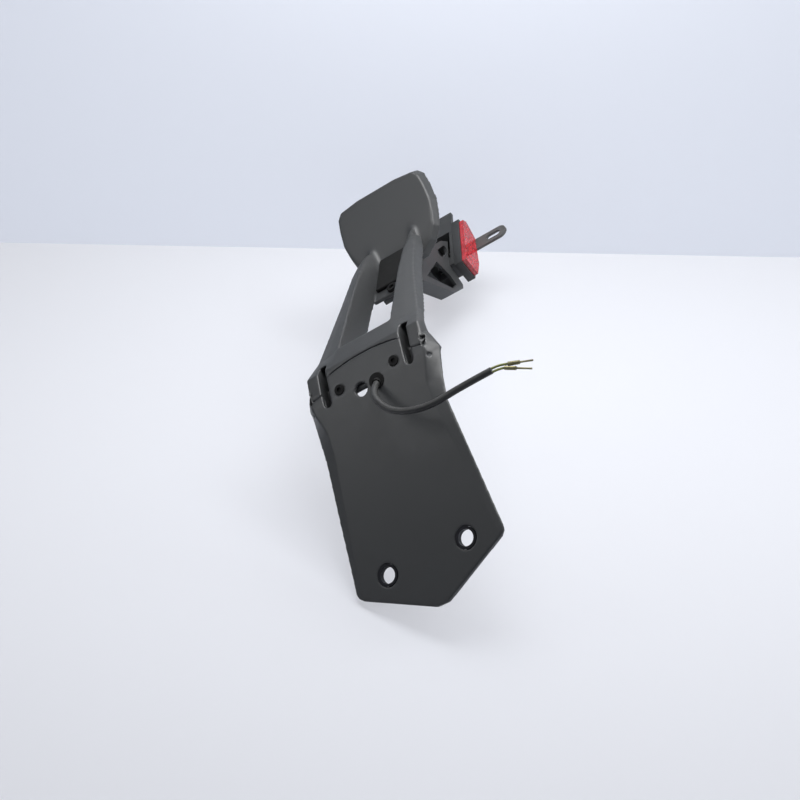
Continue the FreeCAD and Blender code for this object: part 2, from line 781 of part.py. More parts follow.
def wall_point(across, along, out):
    """Point given across, along and behind the rear wall."""
    tilt = math.radians(value_of("wall_tilt"))
    return Vector(
        across,
        value_of("wall_y") + along * math.cos(tilt) - out * math.sin(tilt),
        -value_of("wall_z") - along * math.sin(tilt) - out * math.cos(tilt))


tilt = math.radians(value_of("wall_tilt"))
WALL_FRONT = Vector(0, math.sin(tilt), math.cos(tilt))
seat_z = -value_of("screw_seat + 0.6")
joint_screws = []
joint_nuts = []
for side in (1, -1):
    place = Vector(side * value_of("screw_x"), value_of("screw_y"), seat_z)
    joint_screws.append(screw(place, -UP, value_of("screw_head"), 1.6, 3.98, 9))
    under = Vector(place.x, place.y, -value_of("2 * plate_wall") - 1.7)
    joint_nuts.append(nut(under, -UP, 7, 4, 3.2))
solid("joint_screws", joint_screws)
solid("joint_nuts", joint_nuts)

bar_screws = []
bar_nuts = []
for side in (1, -1):
    x = side * value_of("bar_screw_x")
    back = wall_point(x, value_of("bar_place"), value_of("block_depth + bar_thick") + 0.05)
    bar_screws.append(screw(back, Vector(WALL_FRONT), 6, 2.2, 2.98, 9))
    inside = wall_point(x, value_of("bar_place"), value_of("block_depth") - 3.05)
    bar_nuts.append(nut(inside, Vector(WALL_FRONT), 5.5, 3, 2.6))
solid("bar_screws", bar_screws)
solid("bar_nuts", bar_nuts)

scoop_angle = math.radians(value_of("scoop_tilt"))
SCOOP_FRONT = Vector(0, math.sin(scoop_angle), math.cos(scoop_angle))
arm_screws = []
arm_nuts = []
for along in ("arm_screw_low", "arm_screw_high"):
    reach = value_of(along)
    place = Vector(
        0,
        value_of("scoop_low_y") + reach * math.cos(scoop_angle),
        -value_of("scoop_low_z") - reach * math.sin(scoop_angle))
    depth = value_of("stem_wall + fit_gap + root_wall") + 0.05
    arm_screws.append(screw(place + SCOOP_FRONT * 0.05, -SCOOP_FRONT, 8, 2.2, 2.98, 9.6))
    arm_nuts.append(nut(place - SCOOP_FRONT * (depth + 0.05), -SCOOP_FRONT, 5.5, 3, 2.4))
solid("arm_screws", arm_screws)
solid("arm_nuts", arm_nuts)

# Number plate lamp in the arm's toe

lamp = new_body("lamp_housing")
prism(lamp, "lamp_case", [
    ("228.3", "0 - 182.2"),
    ("233.8", "0 - 173.2"),
    ("241.6", "0 - 178.6"),
    ("232", "0 - 186.8"),
], "0 - arm_half + web + fit_gap", "2 * ( arm_half - web - fit_gap )")
lamp_lens = new_body("lamp_lens")
prism(lamp_lens, "lamp_window", [
    ("232.05", "0 - 186.9"),
    ("241.65", "0 - 178.7"),
    ("242.6", "0 - 179.8"),
    ("233", "0 - 188"),
], "0 - arm_half + web + fit_gap", "2 * ( arm_half - web - fit_gap )")

# Cable: the tail leaves the mount plate and ends in two bare terminals


def rounded_route(name, corners, closed_ends=True):
    """Wire of straight runs joined by arcs that touch both of them."""
    edges = []
    start = corners[0]
    for before, corner, after in zip(corners, corners[1:], corners[2:]):
        inward = (corner - before).normalize()
        outward = (after - corner).normalize()
        turn = inward.getAngle(outward)
        shorter = min((corner - before).Length, (after - corner).Length)
        radius = 0.45 * shorter / math.tan(turn / 2)
        reach = radius * math.tan(turn / 2)
        first = corner - inward * reach
        last = corner + outward * reach
        aim = (outward - inward).normalize()
        middle = corner + aim * (radius / math.cos(turn / 2) - radius)
        edges.append(Part.LineSegment(start, first).toShape())
        edges.append(Part.Arc(first, middle, last).toShape())
        start = last
        print(f"{name}: bend radius {radius:.1f} mm")
    edges.append(Part.LineSegment(start, corners[-1]).toShape())
    return Part.Wire(edges)


def tube(label, corners, diameter):
    """Round cord along such a route."""
    route = rounded_route(label, corners)
    heading = (corners[1] - corners[0]).normalize()
    section = Part.Wire([Part.Circle(corners[0], heading, diameter / 2).toShape()])
    shape = route.makePipeShell([section], True, False)
    expected = math.pi * diameter ** 2 / 4 * route.Length
    print(f"{label}: volume {shape.Volume:.0f} of {expected:.0f} mm3, length {route.Length:.0f} mm")
    return shape


TAIL = [
    Vector(6.1, 114.8, 1.3),
    Vector(5.6, 104.5, 14.4),
    Vector(19.0, 85.0, 20.5),
    Vector(42.0, 77.4, 20.0),
    Vector(66.0, 80.8, 16.4),
    Vector(87.0, 82.2, 13.2),
]
lead_out = (TAIL[1] - TAIL[0]).normalize()
solid("cable_tail", [tube("cable_tail", TAIL, value_of("cable"))])
INNER = [
    TAIL[0] - lead_out * 0.05,
    TAIL[0] - lead_out * 22,
    Vector(4.0, 150.0, -27.0),
]
solid("cable_inner", [tube("cable_inner", INNER, value_of("cable"))])

grommet_place = Vector(value_of("wire_x"), value_of("wire_y"), -value_of("plate_wall") + 0.1)
rim = Part.makeCylinder(value_of("grommet_outer") / 2, value_of("grommet_rim"),
                        Vector(grommet_place.x, grommet_place.y, 0.05), UP)
neck = Part.makeCylinder(value_of("wire_hole") / 2 - 0.05, 3.1, grommet_place, UP)
sleeve = Part.makeCylinder(value_of("cable") / 2 + 0.7, 4, TAIL[0] - lead_out * 4, lead_out)
bore = Part.makeCylinder(value_of("cable") / 2 + 0.05, 30, TAIL[0] - lead_out * 20, lead_out)
above = Part.makeBox(60, 60, 30, Vector(-20, 90, 0.05))
grommet = rim.fuse(neck).fuse(sleeve.common(above)).cut(bore).removeSplitter()
solid("cable_grommet", [grommet])

WIRES = {
    "wire_upper": [Vector(87.3, 83.3, 13.2), Vector(92.5, 83.0, 12.8), Vector(97.8, 81.5, 12.3)],
    "wire_lower": [Vector(87.3, 81.0, 13.2), Vector(91.2, 80.9, 12.8), Vector(94.9, 80.2, 12.4)],
}
ENDS = {
    "wire_upper": (Vector(105.0, 79.1, 12.0), Vector(113.4, 76.3, 12.0)),
    "wire_lower": (Vector(101.6, 76.8, 12.0), Vector(111.0, 71.9, 12.0)),
}
terminals = []
for label, corners in WIRES.items():
    solid(label, [tube(label, corners, value_of("wire"))])
    crimp_end, pin_end = ENDS[label]
    run = crimp_end - corners[-1]
    near = corners[-1] + Vector(run).normalize() * 0.3
    barrel_shape = Part.makeCylinder(value_of("crimp") / 2, run.Length - 0.3, near, run)
    run = pin_end - crimp_end
    pin_shape = Part.makeCylinder(value_of("pin") / 2, run.Length, crimp_end, run)
    terminals.append(barrel_shape.fuse(pin_shape).removeSplitter())
solid("terminals", terminals)

doc.recompute()
os.makedirs("parts", exist_ok=True)
nodes = [item for item in doc.Objects if item.isDerivedFrom("Part::Feature")]
nodes = [item for item in nodes if item.TypeId in ("PartDesign::Body", "Part::Feature")]
for item in doc.Objects:
    if "Invalid" in item.State or "Error" in item.State:
        raise RuntimeError(f"{item.Name}: {item.State}")
for item in nodes:
    if item.Shape.isNull() or not item.Shape.isValid():
        raise RuntimeError(f"{item.Label} has no valid shape")
    item.Shape.exportStep(f"parts/{item.Label}.step")
    box = item.Shape.BoundBox
    print(f"{item.Label}: {len(item.Shape.Solids)} solid(s), {item.Shape.Volume / 1000:.2f} cm3, "
          f"x {box.XMin:.1f}..{box.XMax:.1f} y {box.YMin:.1f}..{box.YMax:.1f} "
          f"z {box.ZMin:.1f}..{box.ZMax:.1f}")
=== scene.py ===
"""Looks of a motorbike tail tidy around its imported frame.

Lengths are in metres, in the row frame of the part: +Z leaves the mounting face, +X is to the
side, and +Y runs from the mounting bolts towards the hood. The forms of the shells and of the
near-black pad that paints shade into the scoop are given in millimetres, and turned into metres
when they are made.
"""

import logging
import math
from dataclasses import dataclass
from enum import Enum
from typing import Iterable, Sequence

import bmesh
import bpy
from mathutils import Matrix, Vector


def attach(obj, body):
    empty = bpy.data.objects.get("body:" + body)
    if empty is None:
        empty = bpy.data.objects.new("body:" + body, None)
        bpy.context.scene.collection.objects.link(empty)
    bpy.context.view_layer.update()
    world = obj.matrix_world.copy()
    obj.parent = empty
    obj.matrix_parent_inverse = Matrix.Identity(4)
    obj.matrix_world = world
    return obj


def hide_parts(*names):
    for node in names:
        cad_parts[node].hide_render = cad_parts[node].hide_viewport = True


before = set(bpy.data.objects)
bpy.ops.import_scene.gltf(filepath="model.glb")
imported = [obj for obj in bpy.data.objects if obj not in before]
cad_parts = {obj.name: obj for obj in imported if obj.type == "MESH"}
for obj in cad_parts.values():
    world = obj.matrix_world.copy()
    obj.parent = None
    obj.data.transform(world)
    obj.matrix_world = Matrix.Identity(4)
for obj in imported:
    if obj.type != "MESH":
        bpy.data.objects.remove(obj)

log = logging.getLogger("tail_tidy")

Point = tuple[float, float, float]
Corners = tuple[Point, ...]
Colour = tuple[float, float, float, float]

MILLIMETRE = 0.001


def grey(level: float, warm: float = 0.0) -> Colour:
    """A neutral colour, or a slightly warm or cool one."""
    return (level * (1 + warm), level, level * (1 - warm), 1.0)


class NodeGraph:
    """Small helper that adds and links the nodes of one material."""

    def __init__(self, name: str) -> None:
        """Starts an empty material with a Principled shader.

        Args:
            name: The material's name.
        """
        self.material = bpy.data.materials.new(name)
        self.material.use_nodes = True
        self.tree = self.material.node_tree
        self.tree.nodes.clear()
        self.output = self.tree.nodes.new("ShaderNodeOutputMaterial")
        self.shader = self.tree.nodes.new("ShaderNodeBsdfPrincipled")
        self.tree.links.new(self.shader.outputs[0], self.output.inputs[0])

    def add(self, kind: str, **settings: object) -> bpy.types.Node:
        """Adds a node.

        Args:
            kind: The node's type.
            **settings: Properties of the node, or values of its inputs by name.

        Returns:
            The new node.
        """
        node = self.tree.nodes.new(kind)
        for key, value in settings.items():
            if hasattr(node, key):
                setattr(node, key, value)
            else:
                node.inputs[key.replace("_", " ")].default_value = value
        return node

    def link(self, source: bpy.types.NodeSocket, target: bpy.types.NodeSocket) -> None:
        """Links two sockets."""
        self.tree.links.new(source, target)

    def place(self, scale: Sequence[float] = (1, 1, 1)) -> bpy.types.NodeSocket:
        """Object coordinates, stretched by a Mapping node.

        Args:
            scale: Stretch along each axis.

        Returns:
            The vector socket.
        """
        coordinates = self.add("ShaderNodeTexCoord")
        mapping = self.add("ShaderNodeMapping")
        mapping.inputs["Scale"].default_value = tuple(scale)
        self.link(coordinates.outputs["Object"], mapping.inputs["Vector"])
        return mapping.outputs["Vector"]

    def noise(self, vector: bpy.types.NodeSocket, scale: float, detail: float = 4.0,
              rough: float = 0.5) -> bpy.types.NodeSocket:
        """Noise pattern.

        Args:
            vector: Where it is read.
            scale: Patches per metre.
            detail: Number of finer layers.
            rough: Weight of the finer layers.

        Returns:
            The pattern's factor, from 0 to 1.
        """
        node = self.add("ShaderNodeTexNoise", Scale=scale, Detail=detail, Roughness=rough)
        self.link(vector, node.inputs["Vector"])
        return node.outputs["Fac"]

    def spread(self, factor: bpy.types.NodeSocket, low: float, high: float,
               start: float = 0.3, end: float = 0.7) -> bpy.types.NodeSocket:
        """Maps a factor to a range of values.

        Args:
            factor: What is mapped.
            low: Value at the start.
            high: Value at the end.
            start: Factor that gives the low value.
            end: Factor that gives the high value.

        Returns:
            The mapped value.
        """
        node = self.add("ShaderNodeMapRange")
        node.inputs["From Min"].default_value = start
        node.inputs["From Max"].default_value = end
        node.inputs["To Min"].default_value = low
        node.inputs["To Max"].default_value = high
        self.link(factor, node.inputs["Value"])
        return node.outputs["Result"]

    def blend(self, factor: bpy.types.NodeSocket, first: Colour,
              second: Colour) -> bpy.types.NodeSocket:
        """Mixes two colours by a factor.

        Args:
            factor: 0 gives the first colour and 1 the second.
            first: One colour.
            second: The other colour.

        Returns:
            The mixed colour.
        """
        node = self.add("ShaderNodeMix", data_type="RGBA")
        for socket in node.inputs:
            if socket.identifier == "A_Color":
                socket.default_value = first
            elif socket.identifier == "B_Color":
                socket.default_value = second
        self.link(factor, node.inputs["Factor"])
        return next(socket for socket in node.outputs if socket.identifier == "Result_Color")

    def blend_into(self, factor: bpy.types.NodeSocket, first: bpy.types.NodeSocket,
                   second: Colour) -> bpy.types.NodeSocket:
        """Mixes a pattern's colour with a plain one by a factor.

        Args:
            factor: 0 gives the pattern's colour and 1 the plain one.
            first: The pattern's colour.
            second: The plain colour.

        Returns:
            The mixed colour.
        """
        node = self.add("ShaderNodeMix", data_type="RGBA")
        sockets = {socket.identifier: socket for socket in node.inputs}
        self.link(factor, sockets["Factor_Float"])
        self.link(first, sockets["A_Color"])
        sockets["B_Color"].default_value = second
        return next(socket for socket in node.outputs if socket.identifier == "Result_Color")

    def bump(self, heights: Iterable[tuple[bpy.types.NodeSocket, float, float]]) -> None:
        """Bumps the surface with a chain of patterns.

        Args:
            heights: For each pattern its factor, its depth in metres and its strength.
        """
        normal = None
        for height, depth, strength in heights:
            node = self.add("ShaderNodeBump", Distance=depth, Strength=strength)
            self.link(height, node.inputs["Height"])
            if normal is not None:
                self.link(normal, node.inputs["Normal"])
            normal = node.outputs["Normal"]
        if normal is not None:
            self.link(normal, self.shader.inputs["Normal"])


@dataclass(frozen=True)
class Finish:
    """Base of all finishes: a name and how to make the material once."""

    name: str

    def build(self) -> bpy.types.Material:
        """Makes the material, or finds it when it is there already."""
        found = bpy.data.materials.get(self.name)
        return found if found else self.make()

    def make(self) -> bpy.types.Material:
        """Makes the material."""
        raise NotImplementedError


@dataclass(frozen=True)
class MouldedPlastic(Finish):
    """Satin moulded plastic with a fine spark-eroded grain and rubbed edges."""

    base: float = 0.040
    worn: float = 0.054
    roughness: float = 0.40
    grain: float = 2400.0
    grain_depth: float = 0.00005
    flow: float = 14.0
    wear: float = 110.0
    cool: float = -0.03
    edge_start: float = 0.52
    edge_end: float = 0.60

    def make(self) -> bpy.types.Material:
        """Makes the material."""
        graph = NodeGraph(self.name)
        spot = graph.place()
        grain = graph.noise(spot, self.grain, 2.0)
        flow = graph.noise(spot, self.flow, 2.0)
        wear = graph.noise(spot, self.wear, 5.0, 0.65)
        geometry = graph.add("ShaderNodeNewGeometry")
        edge = graph.spread(geometry.outputs["Pointiness"], 0.0, 1.0, self.edge_start,
                            self.edge_end)
        rubbed = graph.add("ShaderNodeMath", operation="MULTIPLY")
        graph.link(edge, rubbed.inputs[0])
        graph.link(graph.spread(wear, 0.1, 0.6, 0.35, 0.65), rubbed.inputs[1])
        plain = graph.blend(graph.spread(flow, 0.0, 1.0, 0.35, 0.65),
                            grey(self.base, self.cool), grey(self.base * 1.07, -0.035))
        graph.link(graph.blend_into(rubbed.outputs[0], plain, grey(self.worn, self.cool)),
                   graph.shader.inputs["Base Color"])
        graph.link(graph.spread(wear, self.roughness - 0.03, self.roughness + 0.04),
                   graph.shader.inputs["Roughness"])
        graph.shader.inputs["IOR"].default_value = 1.5
        graph.bump([(grain, self.grain_depth, 0.3)])
        return graph.material


@dataclass(frozen=True)
class BareSteel(Finish):
    """Turned or stamped steel with fine machining lines."""

    base: Colour = (0.55, 0.55, 0.57, 1.0)
    roughness: float = 0.32
    stretch: Point = (1.0, 1.0, 30.0)
    lines: float = 400.0
    dirt: float = 160.0
    dirt_shade: float = 0.72

    def make(self) -> bpy.types.Material:
        """Makes the material."""
        graph = NodeGraph(self.name)
        lines = graph.noise(graph.place(self.stretch), self.lines, 4.0)
        dirt = graph.noise(graph.place(), self.dirt, 4.0, 0.6)
        dark = tuple(channel * self.dirt_shade for channel in self.base[:3]) + (1.0,)
        graph.link(graph.blend(graph.spread(dirt, 0.0, 1.0), self.base, dark),
                   graph.shader.inputs["Base Color"])
        graph.shader.inputs["Metallic"].default_value = 1.0
        graph.link(graph.spread(lines, self.roughness - 0.06, self.roughness + 0.1),
                   graph.shader.inputs["Roughness"])
        graph.bump([(lines, 0.00005, 0.3)])
        return graph.material


@dataclass(frozen=True)
class CoatedSteel(Finish):
    """Powder-coated or blackened steel with a slight orange peel."""

    base: float = 0.06
    roughness: float = 0.45
    peel: float = 900.0
    dust: float = 70.0
    gloss: float = 0.5

    def make(self) -> bpy.types.Material:
        """Makes the material."""
        graph = NodeGraph(self.name)
        spot = graph.place()
        peel = graph.noise(spot, self.peel, 2.0)
        dust = graph.noise(spot, self.dust, 5.0, 0.6)
        graph.link(graph.blend(graph.spread(dust, 0.0, 1.0), grey(self.base),
                               grey(self.base * 1.5)), graph.shader.inputs["Base Color"])
        graph.shader.inputs["Specular IOR Level"].default_value = self.gloss
        graph.link(graph.spread(peel, self.roughness - 0.07, self.roughness + 0.08),
                   graph.shader.inputs["Roughness"])
        graph.bump([(peel, 0.0001, 0.25)])
        return graph.material


@dataclass(frozen=True)
class SoftRubber(Finish):
    """Cable sheath, grommet, or the near-black pad that paints shade into the scoop: smooth black
    rubber with dull patches.
    """

    base: float = 0.022
    roughness: float = 0.38
    gloss: float = 0.5
    bloom: float = 120.0
    skin: float = 1500.0

    def make(self) -> bpy.types.Material:
        """Makes the material."""
        graph = NodeGraph(self.name)
        spot = graph.place()
        bloom = graph.noise(spot, self.bloom, 5.0, 0.6)
        skin = graph.noise(spot, self.skin, 2.0)
        graph.link(graph.blend(graph.spread(bloom, 0.0, 1.0), grey(self.base),
                               grey(self.base * 1.8)), graph.shader.inputs["Base Color"])
        graph.link(graph.spread(bloom, self.roughness - 0.05, self.roughness + 0.12),
                   graph.shader.inputs["Roughness"])
        graph.shader.inputs["Specular IOR Level"].default_value = self.gloss
        graph.bump([(skin, 0.00006, 0.25)])
        return graph.material


@dataclass(frozen=True)
class WireSkin(Finish):
    """Thin coloured insulation, a little uneven."""

    base: Colour = (0.26, 0.28, 0.07, 1.0)
    stain: Colour = (0.12, 0.13, 0.05, 1.0)
    patches: float = 500.0

    def make(self) -> bpy.types.Material:
        """Makes the material."""
        graph = NodeGraph(self.name)
        spot = graph.place()
        stain = graph.noise(spot, self.patches, 4.0)
        graph.link(graph.blend(graph.spread(stain, 0.0, 1.0), self.base, self.stain),
                   graph.shader.inputs["Base Color"])
        graph.link(graph.spread(stain, 0.35, 0.5), graph.shader.inputs["Roughness"])
        graph.bump([(stain, 0.0001, 0.2)])
        return graph.material


@dataclass(frozen=True)
class RedReflector(Finish):
    """Clear glossy face over a red field of tiny prisms."""

    deep: Colour = (0.36, 0.008, 0.014, 1.0)
    bright: Colour = (0.62, 0.035, 0.05, 1.0)
    prism: float = 420.0
    haze: float = 60.0

    def make(self) -> bpy.types.Material:
        """Makes the material."""
        graph = NodeGraph(self.name)
        cells = graph.add("ShaderNodeTexVoronoi", Scale=self.prism)
        graph.link(graph.place(), cells.inputs["Vector"])
        haze = graph.noise(graph.place(), self.haze, 3.0)
        graph.link(graph.blend(graph.spread(cells.outputs["Distance"], 0.0, 1.0, 0.1, 0.7),
                               self.bright, self.deep), graph.shader.inputs["Base Color"])
        graph.link(graph.spread(haze, 0.05, 0.12), graph.shader.inputs["Roughness"])
        graph.shader.inputs["Coat Weight"].default_value = 1.0
        graph.shader.inputs["Coat Roughness"].default_value = 0.03
        graph.bump([(cells.outputs["Distance"], 0.0002, 0.15)])
        return graph.material


@dataclass(frozen=True)
class ClearWindow(Finish):
    """Milky clear plastic of the lamp's window."""

    dull: Colour = (0.8, 0.83, 0.86, 1.0)
    clear: Colour = (0.9, 0.92, 0.94, 1.0)
    haze: float = 300.0

    def make(self) -> bpy.types.Material:
        """Makes the material."""
        graph = NodeGraph(self.name)
        haze = graph.noise(graph.place(), self.haze, 4.0)
        graph.link(graph.blend(graph.spread(haze, 0.0, 1.0), self.dull, self.clear),
                   graph.shader.inputs["Base Color"])
        graph.link(graph.spread(haze, 0.08, 0.2), graph.shader.inputs["Roughness"])
        graph.shader.inputs["Transmission Weight"].default_value = 0.6
        graph.bump([(haze, 0.0001, 0.1)])
        return graph.material


class Finishes(Enum):
    """Every finish of the part."""

    MOULDING = MouldedPlastic("satin moulded plastic")
    HOUSING = MouldedPlastic("reflector housing plastic", base=0.03, roughness=0.36)
    SLEEVE = BareSteel("darkened steel sleeve", base=(0.04, 0.04, 0.045, 1.0),
                       roughness=0.45)
    # Near-black finish of the scoop pad: painted shade, a dark sheet standing in for the shade
    # under the hood.
    SHADE_PAD = SoftRubber("scoop shade pad rubber", base=0.006, roughness=0.7, gloss=0.25)
    FASTENER = CoatedSteel("blackened fastener", base=0.006, roughness=0.6, gloss=0.15)
    BAR = CoatedSteel("powder coated bar", base=0.07)
    REFLECTOR = RedReflector("red prism reflector")
    WINDOW = ClearWindow("milky lamp window")
    GROMMET = SoftRubber("grommet rubber", base=0.005, roughness=0.7, gloss=0.2)
    SHEATH = SoftRubber("cable sheath")
    WIRE = WireSkin("olive wire insulation")
    TERMINAL = BareSteel("tinned brass terminal", base=(0.30, 0.275, 0.16, 1.0),
                         roughness=0.32)


NODE_FINISHES: dict[str, Finishes] = {
    "mount_plate": Finishes.MOULDING,
    "stem_hood": Finishes.MOULDING,
    "carrier_arm": Finishes.MOULDING,
    "bolt_sleeves": Finishes.SLEEVE,
    "number_plate_bar": Finishes.BAR,
    "reflector_housing_right": Finishes.HOUSING,
    "reflector_housing_left": Finishes.HOUSING,
    "reflector_lens_right": Finishes.REFLECTOR,
    "reflector_lens_left": Finishes.REFLECTOR,
    "joint_screws": Finishes.FASTENER,
    "joint_nuts": Finishes.FASTENER,
    "bar_screws": Finishes.FASTENER,
    "bar_nuts": Finishes.FASTENER,
    "arm_screws": Finishes.FASTENER,
    "arm_nuts": Finishes.FASTENER,
    "lamp_housing": Finishes.HOUSING,
    "lamp_lens": Finishes.WINDOW,
    "cable_tail": Finishes.SHEATH,
    "cable_inner": Finishes.SHEATH,
    "cable_grommet": Finishes.GROMMET,
    "wire_upper": Finishes.WIRE,
    "wire_lower": Finishes.WIRE,
    "terminals": Finishes.TERMINAL,
}


def dress_nodes() -> None:
    """Gives every node of the frame its finish."""
    for name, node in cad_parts.items():
        material = NODE_FINISHES[name].value.build()
        if not node.data.materials:
            node.data.materials.append(material)
        for place in range(len(node.data.materials)):
            node.data.materials[place] = material
        log.info("node %s: %s", name, material.name)


def convex(points: Iterable[Point]) -> bmesh.types.BMesh:
    """Closed convex solid around some points.

    Args:
        points: Its corners, in metres.

    Returns:
        The solid.
    """
    shape = bmesh.new()
    placed = [shape.verts.new(point) for point in points]
    hull = bmesh.ops.convex_hull(shape, input=placed)
    loose = [part for part in hull["geom_interior"] if isinstance(part, bmesh.types.BMVert)]
    bmesh.ops.delete(shape, geom=loose, context="VERTS")
    bmesh.ops.recalc_face_normals(shape, faces=shape.faces)
    return shape


def block(low: Point, high: Point) -> Corners:
    """Corners of a straight block, in millimetres."""
    return tuple((x, y, z) for x in (low[0], high[0]) for y in (low[1], high[1])
                 for z in (low[2], high[2]))


def sided(points: Corners, side: int) -> Corners:
    """Corners on one side of the part.

    Args:
        points: Corners on the right, in millimetres.
        side: 1 for the right, or -1 for the mirrored left.

    Returns:
        The corners in metres.
    """
    return tuple((side * x / 1000, y / 1000, z / 1000) for x, y, z in points)


def both_sides(points: Corners) -> tuple[Corners, Corners]:
    """The same corners on the right and on the left, from millimetres to metres."""
    return sided(points, 1), sided(points, -1)


def new_object(name: str, shape: bmesh.types.BMesh) -> bpy.types.Object:
    """Puts a shape into a new object at the origin and frees it."""
    mesh = bpy.data.meshes.new(name)
    shape.to_mesh(mesh)
    shape.free()
    made = bpy.data.objects.new(name, mesh)
    bpy.context.collection.objects.link(made)
    return made


def finished_mesh(made: bpy.types.Object) -> None:
    """Applies the modifiers of an object to its own mesh."""
    graph = bpy.context.evaluated_depsgraph_get()
    mesh = bpy.data.meshes.new_from_object(made.evaluated_get(graph))
    made.modifiers.clear()
    old = made.data
    made.data = mesh
    bpy.data.meshes.remove(old)


@dataclass
class MouldedShell:
    """Copy of a moulded node with rounded edges, and with forms added or cut away."""

    name: str
    node: str
    voxel: float = 0.0007
    soften: int = 6
    joined: float = 0.000002

    def first_cuts(self) -> Sequence[Corners]:
        """Solids that are cut away before anything is added."""
        return ()

    def added(self) -> Sequence[Corners]:
        """Solids that are added."""
        return ()

    def last_cuts(self) -> Sequence[Corners]:
        """Solids that are cut away at the end."""
        return ()

    def melt(self, made: bpy.types.Object) -> None:
        """Softens one region of the finished skin, where a shell asks for it."""

    def merged(self) -> bpy.types.Object:
        """Copy of the node with its loose triangles joined."""
        shape = bmesh.new()
        shape.from_mesh(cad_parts[self.node].data)
        bmesh.ops.remove_doubles(shape, verts=shape.verts, dist=self.joined)
        return new_object(self.name, shape)

    def combine(self, made: bpy.types.Object, solids: Sequence[Corners],
                operation: str) -> None:
        """Adds solids to the copy, or takes them away from it.

        Args:
            made: The copy.
            solids: Corners of each convex solid.
            operation: UNION or DIFFERENCE.
        """
        if not solids:
            return
        tools = []
        for points in solids:
            tool = new_object("tool", convex(points))
            step = made.modifiers.new("step", "BOOLEAN")
            step.operation = operation
            step.solver = "EXACT"
            step.object = tool
            tools.append(tool)
        bpy.context.view_layer.update()
        finished_mesh(made)
        for tool in tools:
            bpy.data.objects.remove(tool)

    def skin(self, made: bpy.types.Object) -> None:
        """Draws one even, softly rounded skin over the copy."""
        remesh = made.modifiers.new("skin", "REMESH")
        remesh.mode = "VOXEL"
        remesh.voxel_size = self.voxel
        remesh.use_smooth_shade = True
        smooth = made.modifiers.new("soften", "SMOOTH")
        smooth.factor = 0.5
        smooth.iterations = self.soften
        bpy.context.view_layer.update()
        finished_mesh(made)

    def build(self) -> None:
        """Makes the shell and lets it stand for its node."""
        made = self.merged()
        self.combine(made, self.first_cuts(), "DIFFERENCE")
        self.combine(made, self.added(), "UNION")
        self.combine(made, self.last_cuts(), "DIFFERENCE")
        self.skin(made)
        self.melt(made)
        made.data.materials.clear()
        made.data.materials.append(Finishes.MOULDING.value.build())
        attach(made, "root")
        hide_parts(self.node)
        log.info("%s: %d faces", self.name, len(made.data.polygons))


@dataclass
class StemShell(MouldedShell):
    """The stem: rails that taper into the hood, deep slot wells and a rounder arch.

    Forms are given as corners on the right, in millimetres.
    """

    name: str = "stem_shell"
    node: str = "stem_hood"
    voxel: float = 0.00078
    rail_tip: Corners = (
        (27.5, 237, -107.9), (15.0, 256, -107.9), (34, 237, -107.9), (34, 264, -107.9),
        (15.0, 264, -107.9), (24.0, 236, -86), (11.5, 255, -86), (34, 236, -86),
        (34, 264, -86), (11.5, 264, -86),
    )
    well: Corners = (
        (26.6, 113.6, -3.3), (37.4, 113.6, -3.3), (26.6, 136.5, -3.3), (37.4, 136.5, -3.3),
        (26.6, 142.5, -7.5), (37.4, 142.5, -7.5), (26.6, 150, -15), (37.4, 150, -15),
        (26.6, 113.6, -14), (37.4, 113.6, -14), (26.6, 150, -27), (37.4, 150, -27),
        (26.6, 126, -27), (37.4, 126, -27),
    )
    arch_corner: Corners = (
        (14.0, 242.6, -108.2), (5.5, 242.4, -108.2), (14.6, 234.6, -108.2),
        (11.6, 238.6, -108.2), (14.0, 244.6, -112), (5.5, 244.4, -112),
        (14.6, 236.6, -112), (11.6, 240.6, -112),
    )
    ear_fill: Corners = block((35.3, 125.0, -6.0), (43.2, 128.5, -1.25))
    sill: Corners = block((1.0, 117.6, -6.0), (12.5, 121.0, -3.4))
    slot_deep: Corners = block((29.1, 130.5, -24.5), (34.9, 147, 4))
    slot_shallow: Corners = block((29.1, 117.0, -10.5), (34.9, 131.5, 4))
    melt_low: Point = (0.0, 0.228, -0.1093)
    melt_high: Point = (0.036, 0.264, -0.070)
    melt_steps: int = 70
    melt_inset: float = 0.00013

    def first_cuts(self) -> Sequence[Corners]:
        """Solids that taper the rails' tips."""
        return both_sides(self.rail_tip)

    def added(self) -> Sequence[Corners]:
        """Walls around the wells, corners of the arch, ears' joint and the left hole's sill."""
        return (*both_sides(self.well), *both_sides(self.arch_corner),
                *both_sides(self.ear_fill), sided(self.sill, -1))

    def last_cuts(self) -> Sequence[Corners]:
        """The slots, deep at the crossbar and shallow over the plate."""
        return (*both_sides(self.slot_deep), *both_sides(self.slot_shallow))

    def melt(self, made: bpy.types.Object) -> None:
        """Softens the rails' tips until they run into the hood.

        Args:
            made: The shell with its skin.
        """
        shape = bmesh.new()
        shape.from_mesh(made.data)
        for step in range(self.melt_steps):
            inset = self.melt_inset * step
            inside = [vertex for vertex in shape.verts
                      if self.melt_low[1] + inset <= vertex.co.y <= self.melt_high[1] - inset
                      and self.melt_low[0] <= abs(vertex.co.x) <= self.melt_high[0] - inset
                      and self.melt_low[2] <= vertex.co.z <= self.melt_high[2]]
            bmesh.ops.smooth_vert(shape, verts=inside, factor=0.5, use_axis_x=True,
                                  use_axis_y=True, use_axis_z=True)
        shape.to_mesh(made.data)
        shape.free()


